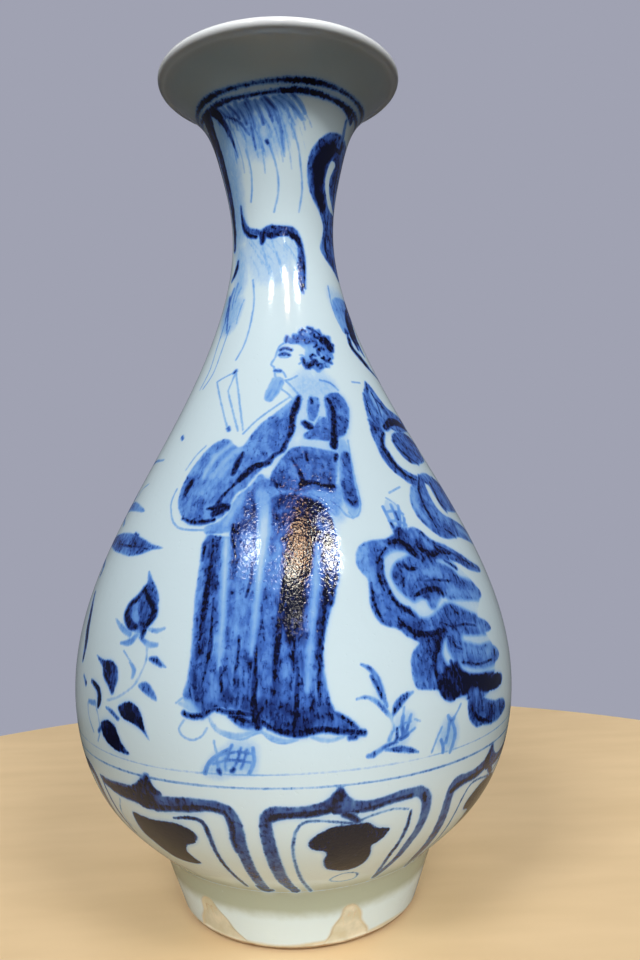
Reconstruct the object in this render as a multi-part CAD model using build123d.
# Yuhuchunping: a pear-shaped porcelain bottle with a narrow neck and a wide, everted, rolled mouth.
# It is thrown in sections, luted together with slip on a turned foot ring, and dipped in glaze.
# Millimetres, +Z up. The origin is the centre of the plane that the foot ring rests on.
import os
from math import cos, radians, sin

from build123d import *

# Rises of the glazed outline, from the table up: their sum is the whole height
foot_height = 22.0
belly_rise = 57.0
shoulder_rise = 153.0
mouth_rise = 56.0

# Radii of the glazed outline
foot_radius = 40.6
foot_top_radius = 48.0
belly_radius = 75.5
waist_radius = 17.9
mouth_radius = 42.5

# Points between those stations, as shares of the rise and of the way from one radius to the next
lower_belly_shares = [(0.337, 0.655)]
shoulder_shares = [(0.46, 0.455), (0.79, 0.891)]
throat_shares = [(0.48, 0.175), (0.77, 0.435)]

# Directions in which the outline leaves the foot and reaches the lip, in degrees above level
foot_lift_angle = 43.0
lip_lift_angle = 38.0

# The rolled lip: its height and how far it stands out past the underside of the flange
lip_height = 4.2
lip_overhang = 2.4
lip_roll_end_angle = 140.0

# Walls of the clay body, each across its own thickness
floor_wall = 8.0
lower_belly_wall = 6.5
belly_wall = 4.8
shoulder_wall = 4.4
neck_wall = 4.0
flange_wall = 3.2

# Foot ring and the recess inside it
well_depth = 12.0
foot_ring_width = 6.8
well_flare = 1.5
foot_edge_chamfer = 0.9

# Luted joints: slip fills the gap between two sections and is squeezed out in a low bead inside
slip_thickness = 0.8
slip_bead_depth = 1.2
slip_bead_height = 5.0
foot_bead_width = 2.0
belly_joint_share = 0.05
neck_joint_share = 0.76

# Glaze: the thickness of every coat, the bare margin above the foot's resting edge,
# and how far the coat in the mouth runs down the throat
glaze_thickness = 0.4
bare_margin = 1.8
throat_glaze_length = 72.0

# Bare marks where fingers held the foot in the glaze tub, by angle from the front towards the right
grip_angles = [-41.0, 19.5, 168.0]
grip_top_width = 4.5
grip_bottom_width = 20.0
grip_height = 15.0
grip_corner_radius = 0.9

# One overrun serves every cutting shape
overrun = 2.0

# Levels and radii that follow
belly_height = foot_height + belly_rise
waist_height = belly_height + shoulder_rise
total_height = waist_height + mouth_rise
belly_joint_height = belly_height + belly_joint_share * shoulder_rise
neck_joint_height = belly_height + neck_joint_share * shoulder_rise
lip_roll_radius = lip_height / 2
floor_height = well_depth + floor_wall
foot_joint_height = well_depth - slip_thickness / 2
well_radius = foot_radius - foot_ring_width
base_radius = well_radius - well_flare
reach = belly_radius + overrun


def between(low, high, shares):
    """Stations on the way from one (radius, height) station up to the next."""
    rise, widening = high[1] - low[1], high[0] - low[0]
    return [(low[0] + across * widening, low[1] + up * rise) for up, across in shares]


def outline_stations():
    """The glazed outline from the top of the foot to the underside of the lip."""
    foot = (foot_top_radius, foot_height)
    belly = (belly_radius, belly_height)
    waist = (waist_radius, waist_height)
    lip = (mouth_radius - lip_overhang, total_height - lip_height)
    lower_belly = between(foot, belly, lower_belly_shares)
    shoulder = between(belly, waist, shoulder_shares)
    throat = between(waist, lip, throat_shares)
    return [foot, *lower_belly, belly, *shoulder, waist, *throat, lip]


def point(station):
    """A (radius, height) station as a point of the half section, in the XZ plane."""
    return Vector(station[0], 0, station[1])


def direction(angle):
    """A direction in the half section, in degrees above level."""
    return Vector(cos(radians(angle)), 0, sin(radians(angle)))


def curve(stations, first_angle, last_angle):
    """A smooth curve through stations, with the direction of each end."""
    ends = [direction(first_angle), direction(last_angle)]
    return Edge.make_spline([point(s) for s in stations], tangents=ends, scale=False)


def inset(line, stations, depths):
    """Stations of a line moved towards the axis, square to the line, each by its own depth."""
    moved = []
    for (radius, height), depth in zip(stations, depths):
        along = line.tangent_at(line.param_at_point(point((radius, height))))
        moved.append((radius - depth * along.Z, height + depth * along.X))
    return moved


def lip_roll(depth):
    """The round edge of the lip, from the flange's underside over the top, a depth below the glaze."""
    radius = lip_roll_radius - depth
    centre = point((mouth_radius - lip_roll_radius, total_height - lip_roll_radius))
    under = inset(glaze_line, [stations[-1]], [depth])[0]
    over = centre + direction(lip_roll_end_angle) * radius
    return Edge.make_three_point_arc(point(under), centre + Vector(radius, 0, 0), over)


def outside(depth):
    """The outside of the vase from foot to lip, a depth below the glazed surface."""
    line = curve(inset(glaze_line, stations, [depth] * len(stations)), foot_lift_angle, lip_lift_angle)
    foot = Edge.make_line(point((foot_radius - depth, 0)), line.position_at(0))
    return [foot, line, lip_roll(depth)]


def inside(depth):
    """The hollow's surface from the lip down to the middle of the floor, a depth into the hollow."""
    walls = [flange_wall, neck_wall, neck_wall, shoulder_wall, shoulder_wall, belly_wall, lower_belly_wall]
    held = list(reversed(stations[1:-1]))
    points = inset(glaze_line, held, [glaze_thickness + wall + depth for wall in walls])
    top = lip_roll(glaze_thickness - depth).position_at(1)
    floor = (0, floor_height + depth)
    return curve([(top.X, top.Z), *points, floor], lip_roll_end_angle + 90, 180)


def filled(depth):
    """Half section of the whole vase as if it were solid, a depth below the glazed surface."""
    edges = outside(depth)
    top = edges[-1].position_at(1)
    edges.append(Edge.make_line(top, point((0, top.Z))))
    edges.append(Edge.make_line(point((0, top.Z)), point((0, 0))))
    edges.append(Edge.make_line(point((0, 0)), edges[0].position_at(0)))
    return Face(Wire(edges))


def hollow(depth):
    """Half section of the space inside, a depth in from the clay, open at the mouth."""
    line = inside(depth)
    top, floor = line.position_at(0), line.position_at(1)
    above = total_height + overrun
    edges = [line, Edge.make_line(floor, point((0, above)))]
    edges.append(Edge.make_line(point((0, above)), point((top.X, above))))
    edges.append(Edge.make_line(point((top.X, above)), top))
    return Face(Wire(edges))


def band(low, high):
    """Half section of everything between two levels."""
    corners = [(0, low), (reach, low), (reach, high), (0, high)]
    return Face(Wire.make_polygon([point(c) for c in corners]))


def foot_well():
    """Half section of the recess inside the foot ring, wider at its mouth."""
    below = well_radius + well_flare * overrun / well_depth
    corners = [(0, -overrun), (below, -overrun), (base_radius, well_depth), (0, well_depth)]
    return Face(Wire.make_polygon([point(c) for c in corners]))


def wall_point(line, height):
    """Where the inside of the wall is at a level."""
    level = Edge.make_line(point((0, height)), point((reach, height)))
    return line.intersect(level)[0].center()


def slip_joint(height):
    """The slip that fills a gap in the wall, with the low bead that it leaves inside."""
    line = inside(0)
    half = slip_bead_height / 2
    low, middle, high = (wall_point(line, z) for z in (height - half, height, height + half))
    crest = middle - Vector(slip_bead_depth, 0, 0)
    root = middle + Vector(shoulder_wall / 2, 0, 0)
    bead = Face(Wire.make_polygon([low, crest, high, root])) & hollow(0)
    gap = clay & band(height - half_slip, height + half_slip)
    return turned(gap) + turned(bead)


def foot_bead():
    """Half section of the slip wiped into the corner between the foot ring and the base."""
    corner = point((base_radius, well_depth))
    inner = corner - Vector(foot_bead_width, 0, 0)
    lower = corner + Vector(well_flare, 0, -well_depth).normalized() * foot_bead_width
    return Face(Wire.make_polygon([corner, lower, inner]))


def grip(angle):
    """The bare mark of one finger: a rounded wedge through the glaze of the foot, at an angle from the front."""
    outward = Vector(sin(radians(angle)), -cos(radians(angle)), 0)
    across = Vector(cos(radians(angle)), sin(radians(angle)), 0)
    low, high = grip_bottom_width / 2, grip_top_width / 2
    corners = [(-low, -overrun), (low, -overrun), (high, grip_height), (-high, grip_height)]
    wedge = Plane(origin=(0, 0, 0), x_dir=across, z_dir=outward) * make_face(Polyline(*corners, close=True))
    tips = [v for v in wedge.vertices() if v.Z > 0]
    return extrude(fillet(tips, grip_corner_radius), reach)


def turned(section):
    """The solid that a half section sweeps out round the axis."""
    return revolve(section, axis=Axis.Z)


stations = outline_stations()
glaze_line = curve(stations, foot_lift_angle, lip_lift_angle)
clay = filled(glaze_thickness) - hollow(0) - foot_well()
half_slip = slip_thickness / 2

# The four thrown or turned sections of the clay body
foot_ring = turned(clay & band(-overrun, foot_joint_height - half_slip))
resting_edges = foot_ring.edges().filter_by(GeomType.CIRCLE).group_by(Axis.Z)[0]
foot_ring = chamfer(resting_edges, foot_edge_chamfer)
lower_belly = turned(clay & band(foot_joint_height + half_slip, belly_joint_height - half_slip))
upper_belly = turned(clay & band(belly_joint_height + half_slip, neck_joint_height - half_slip))
neck_and_mouth = turned(clay & band(neck_joint_height + half_slip, total_height + overrun))

# Slip in the three luted joints
foot_gap = clay & band(foot_joint_height - half_slip, foot_joint_height + half_slip)
foot_slip = turned(foot_gap) + turned(foot_bead() - foot_gap)
belly_slip = slip_joint(belly_joint_height)
neck_slip = slip_joint(neck_joint_height)

# Glaze coats: outside with its finger marks, down the throat, and under the base
coat = filled(0) - filled(glaze_thickness) - hollow(0)
outer_glaze = turned(coat & band(bare_margin, total_height + overrun))
for angle in grip_angles:
    outer_glaze -= grip(angle)
throat_coat = (hollow(0) - hollow(glaze_thickness)) & filled(0)
throat_glaze = turned(throat_coat & band(total_height - throat_glaze_length, total_height + overrun))
base_coat_radius = base_radius - foot_bead_width - glaze_thickness
base_glaze = Pos(0, 0, well_depth - glaze_thickness) * Cylinder(
    base_coat_radius, glaze_thickness, align=(Align.CENTER, Align.CENTER, Align.MIN)
)

nodes = {
    "foot_ring": foot_ring,
    "lower_belly": lower_belly,
    "upper_belly": upper_belly,
    "neck_and_mouth": neck_and_mouth,
    "foot_slip": foot_slip,
    "belly_slip": belly_slip,
    "neck_slip": neck_slip,
    "outer_glaze": outer_glaze,
    "throat_glaze": throat_glaze,
    "base_glaze": base_glaze,
}
os.makedirs("parts", exist_ok=True)
for name, shape in nodes.items():
    export_step(shape, f"parts/{name}.step")
    print(name, "volume in cubic centimetres:", round(shape.volume / CM**3, 1))
